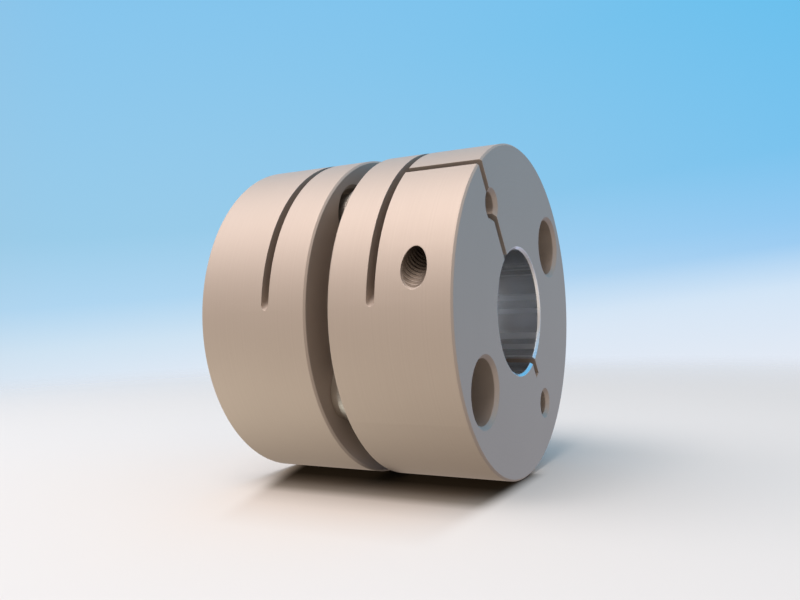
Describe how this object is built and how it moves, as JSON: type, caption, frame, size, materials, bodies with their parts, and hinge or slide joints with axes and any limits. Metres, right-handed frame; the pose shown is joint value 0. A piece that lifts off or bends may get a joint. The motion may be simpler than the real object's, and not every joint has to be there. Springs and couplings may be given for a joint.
{
  "type": "disc coupling",
  "caption": "Disc coupling for joining shafts: identical aluminium clamping hubs, slit and slotted to close on a shaft with a socket screw, bolted to a pack of thin steel leaves.",
  "frame": {"origin": "centre of the lower hub's end face, which the coupling stands on", "axes": "+Z along the shaft axis, from the lower hub to the upper one; +Y from the axis to the lower hub's slit; +X towards the tapped end of the lower hub's clamp screw"},
  "size_m": [0.056, 0.056, 0.045],
  "materials": {
    "anodised_aluminium": "satin",
    "black_steel": "black oxide",
    "plated_steel": "zinc plated",
    "spring_steel": "rolled",
    "turned_steel": "turned"
  },
  "bodies": {
    "root": {"lower_hub": "anodised_aluminium", "upper_hub": "anodised_aluminium", "lower_clamp_screw": "black_steel", "upper_clamp_screw": "black_steel", "disc_leaf_1": "spring_steel", "disc_leaf_2": "spring_steel", "disc_leaf_3": "spring_steel", "disc_leaf_4": "spring_steel", "lower_collar_1": "turned_steel", "lower_collar_2": "turned_steel", "upper_collar_1": "turned_steel", "upper_collar_2": "turned_steel", "lower_washer_1": "turned_steel", "lower_washer_2": "turned_steel", "upper_washer_1": "turned_steel", "upper_washer_2": "turned_steel", "lower_disc_bolt_1": "plated_steel", "lower_disc_bolt_2": "plated_steel", "upper_disc_bolt_1": "plated_steel", "upper_disc_bolt_2": "plated_steel"}
  },
  "joints": []
}
